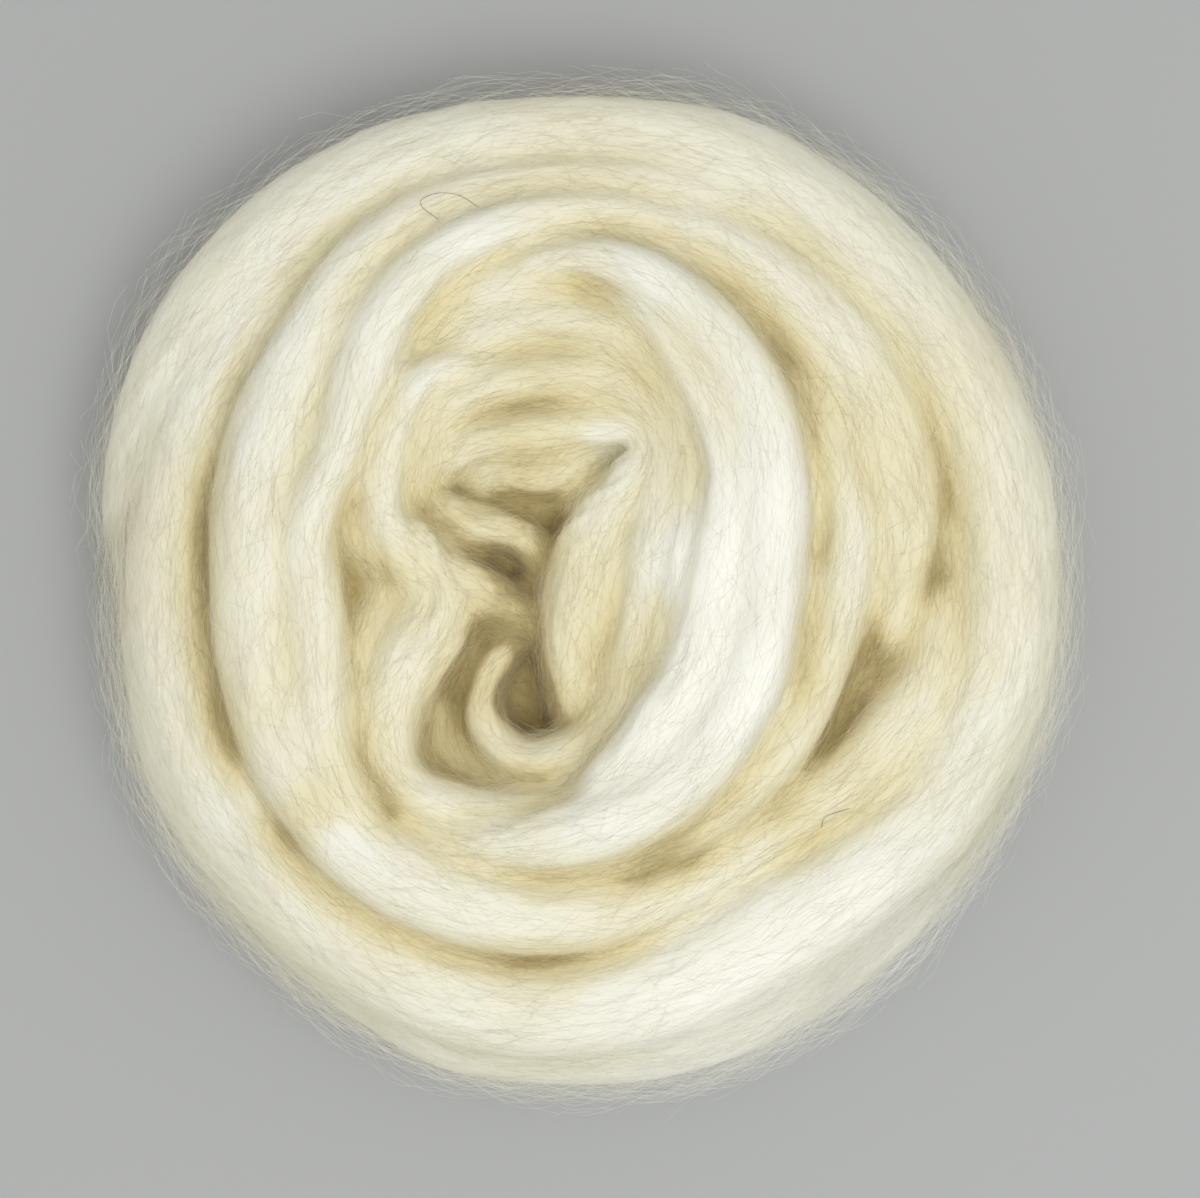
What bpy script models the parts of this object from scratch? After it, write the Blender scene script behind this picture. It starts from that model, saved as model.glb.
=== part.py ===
"""A length of combed wool roving wound into a loose round nest, as one solid.

Metres, +Z up, origin at the middle of the flat underside. The nest stands on that underside.
The roving is one thick untwisted rope of fibre. Each stretch of it that shows is a turn or a
fold: a soft rounded section carried along its own line. The turns press into each other, are
fused into one body, and the body is cut level where it lies on a table.
"""

import math

import bmesh
import bpy
from mathutils import Vector

MM = 0.001

# Sizes of the wound form, in millimetres
NEST_LENGTH = 248.0  # outside, along Y
NEST_WIDTH = 238.0  # outside, along X
BED_INSET = 16.0  # from the outside of the nest to the middle of the turn that lies on the table
BED_CREST = 24.0  # its top
BED_HALF_WIDTH = 13.5
BED_TURNS = 5
MIDDLE_INSET = 27.0  # the same for the layer that lies on it
MIDDLE_CREST = 35.0
MIDDLE_HALF_WIDTH = 11.5
MIDDLE_TURNS = 2
COIL_PITCH = 23.0  # from one of those turns to the next
COIL_STEPS = 12  # rows to each of those turns
COIL_WANDER = 1.6  # how far they stray from an even coil
SIDE_WANDER_RATE = 2.6  # how often in a turn they stray sideways
CREST_WANDER_RATE = 1.7  # and up and down
SECTION_STEP = 5.0  # from one section of a turn to the next
SECTION_POINTS = 20
CROWN_LEAST = 6.0  # height of the narrowest turn's crown above its widest line
CROWN_SHARE = 0.7  # added to it for each millimetre of half width
CROWN_FLATNESS = 0.83  # under 1, a crown is flatter on top and steeper at its sides than an ellipse
BODY_FLATNESS = 0.5  # the same for the body below it, whose sides are nearly straight
BODY_SPREAD = 1.1  # how far the body swells past the crown on each side, into its neighbours
END_RUN = 14.0  # length over which a fold's end slips in under the folds beside it
END_DROP = 7.0  # how far its crest sinks there
END_SHARE = 0.45  # half width left at the very end

# Sizes of the mesh
VOXEL = 1.6  # the grid on which the turns are fused
NARROWEST = 1.6  # gaps between turns narrower than this are filled, as springy wool fills them
SOFTEN_FACTOR = 0.5
SOFTEN_TIMES = 2
KEPT_FACES = 0.078  # share of the grid's faces left after thinning
TABLE = 400.0  # side of the block that stands for the table

# Each turn or fold: its underside, and rows of x, y, crest height and half width, in millimetres.
# A turn with no underside of its own is as thick as it is wide.
TURNS = {
    # the outermost turn, from its feathered end round to where it slips under the second turn
    "rim": (None, [
        (-116, 4, 12, 3), (-114.5, 19, 25, 7), (-110, 37, 31, 9.5), (-103, 55, 34, 11.5),
        (-92, 73, 36, 12), (-77, 89, 37, 12), (-59, 102, 38, 11.5), (-36, 111, 38, 10.5),
        (-12, 115.5, 38, 9), (12, 115.5, 38, 9), (36, 109.5, 39, 10.5), (57, 98, 40, 11),
        (74, 82, 41, 12), (88, 64.5, 42, 12), (99, 44, 42, 12.5), (104.5, 22, 42, 13),
        (105.5, 0, 42, 13), (103.5, -21, 42, 13), (96, -38, 42, 13.5), (86, -53, 42, 14),
        (72, -66, 42, 14.5), (56, -78, 42, 15), (38, -89, 42, 15.5), (18, -98, 42, 15),
        (-4, -102.5, 42, 13.5), (-26, -101, 41, 13.5), (-48, -92, 40, 13.5), (-68, -77.5, 39, 14.5),
        (-84, -60.5, 38, 14.5), (-97, -41, 37, 13.5), (-103, -18, 36, 12.5), (-104.5, 3, 36, 11),
        (-103, 21, 36, 10), (-99, 38, 37, 9.5), (-93, 54, 37, 9), (-85, 67, 37, 8),
        (-75.5, 77, 36, 7), (-65, 84, 34, 5)]),
    # the turn under the rim, which shows along its lower edge
    "under_rim": (None, [
        (-97, -47, 25, 8), (-84, -68, 28, 10), (-67, -85.5, 29, 11), (-50, -98, 29, 11.5),
        (-30, -108, 29, 12), (-6, -111.5, 29, 11.5), (20, -110, 29, 11.5), (42, -102, 29, 11.5),
        (60, -89, 28, 10.5), (75, -72.5, 27, 10), (90, -54, 26, 9.5), (101, -34, 24, 9),
        (106, -12, 21, 8.5), (107, 9, 17, 7)]),
    # the second turn, from the top down the left side and along the bottom
    "second": (8, [
        (60, 86, 34, 3.5), (45, 95, 38, 5), (26, 101, 40, 5), (5, 104.5, 41, 4.5),
        (-14, 103.5, 42, 4.5), (-32, 99.5, 43, 5), (-47, 91.5, 45, 6), (-59, 80, 46, 7),
        (-68, 64, 48, 8.5), (-76, 46, 49, 10.5), (-80.5, 27, 50, 11.5), (-82, 8, 51, 11),
        (-81, -12, 51, 11), (-76, -32, 51, 11.5), (-66.5, -50, 51, 11.5), (-53, -64.5, 51, 11.5),
        (-35, -74.5, 51, 11), (-15, -79.5, 50, 10), (5, -79, 47, 9), (22, -73.5, 44, 7),
        (37, -66, 40, 5.5), (51, -57, 36, 4)]),
    # the fold beside it, nearer the middle
    "second_inner": (8, [
        (34, 85, 40, 6), (14, 93.5, 44, 6.5), (-8, 94.5, 47, 6), (-28, 89, 49, 6),
        (-42, 79, 51, 7), (-52, 65, 52, 8), (-57.5, 49, 52, 7.5), (-62, 34, 52, 6.5),
        (-68.5, 18, 52, 7), (-67.5, 0, 52, 8), (-65.5, -20, 52, 8), (-64, -37, 52, 7.5),
        (-57.5, -52, 51, 6.5), (-46, -63, 49, 5.5)]),
    # the fluffed-out turn on the right
    "fluffed": (8, [
        (-8, 91, 36, 4), (8, 92, 40, 6), (24, 90, 43, 8.5), (40, 82.5, 44, 10.5), (56, 69.5, 45, 12),
        (69.5, 52, 45, 12.5), (77.5, 33, 44, 11.5), (80, 15, 43, 9), (78.5, -1, 41, 6),
        (74, -14, 37, 4.5), (67, -25, 33, 3.5)]),
    # the narrow fold below the crest, down the right side
    "third": (8, [
        (48, 63, 42, 3.5), (55.5, 50, 45, 5), (61.5, 34, 46, 5.5), (66, 17, 46, 6.5),
        (64, 1, 46, 8), (60, -15, 47, 7.5), (54, -30, 48, 6.5), (45.5, -42.5, 49, 6),
        (34, -53.5, 49, 5.5), (20, -62, 48, 5.5), (5, -67.5, 46, 5), (-10, -70, 44, 4),
        (-24, -70, 41, 3.5)]),
    # the turn that slips out from under the rim at the lower right
    "slipped": (8, [
        (87, 22, 31, 3), (89, 9, 35, 4), (88, -6, 38, 6), (85, -20, 40, 7.5),
        (78, -32, 42, 9.5), (68.5, -42.5, 43, 9.5), (57, -51, 43, 8.5), (45, -59, 42, 7.5),
        (32, -67, 41, 7), (18, -76, 40, 6)]),
    # the crest, the highest turn
    "crest": (8, [
        (-26, 73, 40, 3.5), (-14, 81, 46, 4.5), (-1, 84, 51, 5), (13, 80.5, 55, 6),
        (25, 72, 57, 7.5), (35.5, 60, 59, 8.5), (43.5, 44.5, 60, 9), (46.5, 27, 60, 9),
        (46, 10, 60, 9), (45, -7, 60, 8.5), (40, -23, 60, 8.5), (31.5, -37.5, 60, 9),
        (20, -48.5, 60, 9.5), (5.5, -56.5, 60, 9), (-9, -60, 57, 8), (-22, -61, 53, 6.5),
        (-34, -59, 48, 5.5), (-46, -53, 43, 4)]),
    # the fold on its inner side
    "crest_inner": (8, [
        (2, 79, 44, 3.5), (13, 73, 50, 5), (23, 62, 54, 6.5), (31, 48, 56, 6.5), (35.5, 31, 57, 5.5),
        (34.5, 14, 58, 7), (31, -3, 58, 8), (26.5, -18, 58, 7.5), (19, -30.5, 58, 7.5),
        (11, -40.5, 57, 7), (2, -49, 55, 5.5), (-7, -54, 50, 3.5)]),
    # folds of the middle, from the outside inwards
    "veil": (10, [
        (-46, 52, 36, 3.5), (-42, 63, 40, 6), (-32, 72, 42, 7), (-18, 77.5, 44, 6.5),
        (-4, 78, 43, 6), (7, 74, 40, 5), (15, 67, 37, 4.5)]),
    "arch": (10, [
        (-38, 56, 37, 4), (-28, 63.5, 42, 5), (-15, 68, 44, 5.5), (-2, 68.5, 45, 6),
        (9, 64.5, 46, 6), (17.5, 57, 47, 5.5), (23, 47.5, 48, 5), (26.5, 36, 48, 4.5),
        (26, 24, 49, 4), (24, 10, 50, 4), (21.5, -4, 50, 4), (18.5, -16, 50, 4),
        (14, -28, 49, 3.5)]),
    "hook": (10, [
        (-42, 18, 38, 4.5), (-42, 30, 40, 4.5), (-38.5, 41.5, 42, 5), (-30, 50, 43, 5.5),
        (-16, 54, 43, 6.5), (-2, 55, 43, 6.8), (10, 53.5, 43, 6.5), (18, 46, 44, 5.5),
        (21, 34, 45, 5), (18.5, 22, 46, 5), (15.5, 8, 47, 5.5), (14.5, -6, 48, 6.2),
        (11.5, -18, 47, 6.5), (8, -29, 45, 7), (0, -38, 43, 6.5), (-11, -41, 41, 5.5),
        (-20, -38.5, 39, 5.5), (-25, -30, 38, 5), (-24, -20, 37, 5), (-18.5, -12, 36, 4.5),
        (-11, -6, 33, 3.5)]),
    "tongue": (10, [
        (-36, 24, 36, 4.5), (-34.5, 33, 39, 5), (-27, 38.5, 41, 6), (-16, 40.5, 42, 6),
        (-5, 41.5, 42, 5.5), (5, 42.5, 41, 5), (12, 41, 41, 4), (15, 35, 42, 4),
        (10.5, 28, 43, 5), (4.5, 20, 44, 7), (1, 10, 45, 9), (-1, -1, 45, 9.5),
        (-2.5, -11, 45, 9), (-3, -21, 43, 7.5), (-3.5, -30, 37, 6), (-4, -37, 28, 3.5)]),
    "lip": (10, [
        (-30, 27.5, 36, 3.5), (-21, 30, 38.5, 5.5), (-11, 30.5, 39, 7), (-3, 33, 37, 6),
        (3, 36, 33, 4.5), (8, 39, 30, 3)]),
    "s_fold": (10, [
        (-38.5, 29, 36, 3.5), (-36.5, 23, 38, 4.5), (-29.5, 18, 39, 5.5), (-20, 16.5, 39, 5.5),
        (-14, 13.5, 38, 5), (-11.5, 7, 37, 4.5), (-12.5, 0, 36, 4)]),
    "cross_fold": (10, [
        (-48, 12, 42, 5), (-38, 6, 44, 7), (-28, 1, 43, 7.5), (-19, -3.5, 41, 6), (-12, -8, 38, 5),
        (-5, -14, 35, 4)]),
    "left_fold": (10, [
        (-19, 60, 40, 3.5), (-30, 58, 44, 4.5), (-39.5, 54.5, 46, 4.5), (-45.5, 46, 47, 4.5),
        (-48.5, 36, 47, 5), (-50.5, 26, 47, 5.5), (-49, 17, 46, 6.5), (-42.5, 9, 45, 8.5),
        (-36.5, 2, 45, 10), (-37, -5, 45, 10.5), (-41, -12, 46, 10.5), (-46, -20, 47, 10),
        (-48.5, -30, 47, 8.5), (-48.5, -40, 47, 7.5), (-43, -48.5, 48, 6.5), (-33, -53, 48, 6.5),
        (-22, -54.5, 48, 6.5), (-10, -54, 48, 6), (0, -50.5, 47, 5), (9, -44, 44, 4)]),
    # folds further down, which show between them
    "left_hollow": (10, [
        (-59, 28, 41, 5), (-56, 13, 42, 8), (-51, 2, 41, 8), (-56, -13, 43, 7), (-57.5, -28, 46, 5)]),
    "curl_hollow": (10, [
        (-22, -6, 33, 4), (-27, -12, 33, 6.5), (-33, -24, 30, 8), (-33, -38, 29, 7),
        (-24, -47, 31, 5), (-10, -49, 33, 5), (4, -46, 34, 4)]),
    "second_hollow": (10, [(-52, -52, 38, 4), (-40, -59, 39, 4), (-26, -65, 40, 4)]),
    "lip_hollow": (10, [
        (-29, 24, 29, 4), (-16, 23, 30, 6), (-4, 26, 31, 7), (3, 31.5, 30, 5), (9, 36, 27, 5)]),
    "hook_hollow": (10, [(-24, 44, 35, 4), (-10, 47.5, 36, 5), (6, 49, 36, 5), (16, 44, 35, 4)]),
    "tongue_hollow": (10, [
        (-6, 21, 28, 6), (-9, 12, 30, 4.5), (-10.5, 2, 30, 4.5), (-11, -7, 29, 4.5)]),
    "crest_hollow": (10, [(56, 36, 39, 4), (58, 18, 37, 4.5), (57, 3, 38, 4), (54, -13, 41, 4)]),
    "right_hollow": (10, [(80, 8, 37, 5), (77, -7, 37, 7), (70, -19, 36, 8), (62, -30, 37, 6)]),
}


def coil_rows(inset, crest, half_width, turns):
    """The turns of a hidden layer: once round the outside, then in by one pitch a turn."""
    rows = []
    for i in range(turns * COIL_STEPS + 1):
        turn = i / COIL_STEPS
        angle = math.tau * turn
        stray = COIL_WANDER * math.sin(SIDE_WANDER_RATE * angle + inset)
        inwards = inset + COIL_PITCH * max(turn - 1, 0) + stray
        across = NEST_WIDTH / 2 - inwards
        along = NEST_LENGTH / 2 - inwards
        top = crest + COIL_WANDER / 2 * math.sin(CREST_WANDER_RATE * angle + inset)
        rows.append((across * math.cos(angle), along * math.sin(angle), top, half_width))
    return rows


def through(rows, step):
    """Points every step or so on the smooth curve through the rows (Catmull-Rom)."""
    knots = [Vector(row) for row in rows]
    knots = [2 * knots[0] - knots[1], *knots, 2 * knots[-1] - knots[-2]]
    points = []
    for a, b, c, d in zip(knots, knots[1:], knots[2:], knots[3:]):
        count = max(1, round((c.xy - b.xy).length / step))
        for i in range(count):
            t = i / count
            points.append(
                0.5 * (2 * b + (c - a) * t + (2 * a - 5 * b + 4 * c - d) * t**2
                       + (3 * b - a - 3 * c + d) * t**3))
    return [*points, knots[-2]]


def slipped_under(points):
    """The points with each end run narrowed and sunk, as it slips in under the folds beside it."""
    walked = [0]
    for point, after in zip(points, points[1:]):
        walked.append(walked[-1] + (after.xy - point.xy).length)
    sunk = []
    for point, from_start in zip(points, walked):
        from_end = walked[-1] - from_start
        left = max(0, 1 - min(from_start, from_end) / END_RUN) ** 2
        crest = point.z - END_DROP * left
        half_width = point.w * (1 - (1 - END_SHARE) * left)
        sunk.append(Vector((point.x, point.y, crest, half_width)))
    return sunk


def section(half_width, crest, foot):
    """The outline of a turn: sideways and upright distances, a soft crown on a full body."""
    crown = CROWN_LEAST + CROWN_SHARE * half_width
    outline = []
    for i in range(SECTION_POINTS):
        angle = math.tau * i / SECTION_POINTS
        side, up = math.cos(angle), math.sin(angle)
        if foot is None:
            outline.append((half_width * side, crest - half_width + half_width * up))
            continue
        if up > 0:
            side = math.copysign(abs(side) ** CROWN_FLATNESS, side) * half_width
            up = up**CROWN_FLATNESS * crown
        else:
            spread = BODY_SPREAD * min(1, -3 * up)
            side = math.copysign(abs(side) ** BODY_FLATNESS, side) * (half_width + spread)
            up = up * (crest - crown - foot)
        outline.append((side, crest - crown + up))
    return outline


def add_turn(bm, rows, foot):
    """One turn as a closed tube: its section at each point of its line, bridged, with filled ends."""
    points = through(rows, SECTION_STEP)
    if foot is not None:
        points = slipped_under(points)
    rings = []
    for i, point in enumerate(points):
        ahead = points[min(i + 1, len(points) - 1)].xy - points[max(i - 1, 0)].xy
        sideways = Vector((ahead.y, -ahead.x)).normalized()
        ring = []
        for side, up in section(point[3], point[2], foot):
            spot = point.xy + sideways * side
            ring.append(bm.verts.new((spot.x * MM, spot.y * MM, up * MM)))
        rings.append(ring)
    for ring, after in zip(rings, rings[1:]):
        for i in range(SECTION_POINTS):
            j = (i + 1) % SECTION_POINTS
            bm.faces.new((ring[i], ring[j], after[j], after[i]))
    bm.faces.new(reversed(rings[0]))
    bm.faces.new(rings[-1])


def roving_material():
    """Undyed combed wool: cream, matt."""
    material = bpy.data.materials.new("undyed_wool")
    material.use_nodes = True
    shader = material.node_tree.nodes["Principled BSDF"]
    shader.inputs["Base Color"].default_value = (0.79, 0.74, 0.55, 1)
    shader.inputs["Roughness"].default_value = 0.9
    shader.inputs["Metallic"].default_value = 0
    return material


def table_cutter():
    """A block whose top is the table: what lies below it is pressed flat, so it's cut away."""
    bpy.ops.mesh.primitive_cube_add(size=TABLE * MM, location=(0, 0, -TABLE / 2 * MM))
    block = bpy.context.object
    block.name = "table"
    block.hide_render = True
    block.display_type = "WIRE"
    return block


def wound_roving(table):
    """All the turns in one mesh, fused into one soft body and cut level at the table."""
    bm = bmesh.new()
    add_turn(bm, coil_rows(BED_INSET, BED_CREST, BED_HALF_WIDTH, BED_TURNS), None)
    add_turn(bm, coil_rows(MIDDLE_INSET, MIDDLE_CREST, MIDDLE_HALF_WIDTH, MIDDLE_TURNS), None)
    for foot, rows in TURNS.values():
        add_turn(bm, rows, foot)
    bmesh.ops.recalc_face_normals(bm, faces=bm.faces)
    mesh = bpy.data.meshes.new("roving_coil")
    bm.to_mesh(mesh)
    bm.free()
    coil = bpy.data.objects.new("roving_coil", mesh)
    bpy.context.collection.objects.link(coil)
    mesh.materials.append(roving_material())

    # fused, swollen until narrow gaps close, fused again, shrunk back and fused once more
    for number, swelling in enumerate((NARROWEST / 2, -NARROWEST / 2, 0)):
        fuse = coil.modifiers.new(f"fuse_{number}", "REMESH")
        fuse.mode = "VOXEL"
        fuse.voxel_size = VOXEL * MM
        fuse.use_smooth_shade = True
        if swelling:
            swell = coil.modifiers.new(f"swell_{number}", "DISPLACE")
            swell.mid_level = 0
            swell.strength = swelling * MM
    soften = coil.modifiers.new("soften", "SMOOTH")
    soften.factor = SOFTEN_FACTOR
    soften.iterations = SOFTEN_TIMES
    thin_out = coil.modifiers.new("thin_out", "DECIMATE")
    thin_out.ratio = KEPT_FACES
    level = coil.modifiers.new("level", "BOOLEAN")
    level.operation = "DIFFERENCE"
    level.solver = "EXACT"
    level.object = table
    return coil


def main():
    for obj in list(bpy.data.objects):
        bpy.data.objects.remove(obj)
    wound_roving(table_cutter())


main()
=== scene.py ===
import math

import bmesh
import bpy
import numpy as np
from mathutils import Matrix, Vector, noise
from mathutils.bvhtree import BVHTree


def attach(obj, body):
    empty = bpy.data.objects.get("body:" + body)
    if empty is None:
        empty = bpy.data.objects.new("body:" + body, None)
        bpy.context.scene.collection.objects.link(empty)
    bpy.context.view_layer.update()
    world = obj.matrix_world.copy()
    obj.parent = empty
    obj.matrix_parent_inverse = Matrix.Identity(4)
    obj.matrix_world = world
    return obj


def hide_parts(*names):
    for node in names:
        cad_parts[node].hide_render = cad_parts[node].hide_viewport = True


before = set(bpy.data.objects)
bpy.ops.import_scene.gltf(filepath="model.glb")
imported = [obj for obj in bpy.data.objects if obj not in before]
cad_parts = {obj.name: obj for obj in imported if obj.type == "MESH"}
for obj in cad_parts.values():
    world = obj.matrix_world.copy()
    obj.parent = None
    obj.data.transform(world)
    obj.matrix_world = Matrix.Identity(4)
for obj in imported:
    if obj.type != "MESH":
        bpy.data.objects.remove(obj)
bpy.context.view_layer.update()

MM = 0.001

# ---------------------------------------------------------------------------------------------
# The wound roving. One thick untwisted rope of combed, undyed wool, wound by hand into a loose
# round nest. Its turns and folds press softly into each other, and it lies flat on its lowest
# turns.

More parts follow.
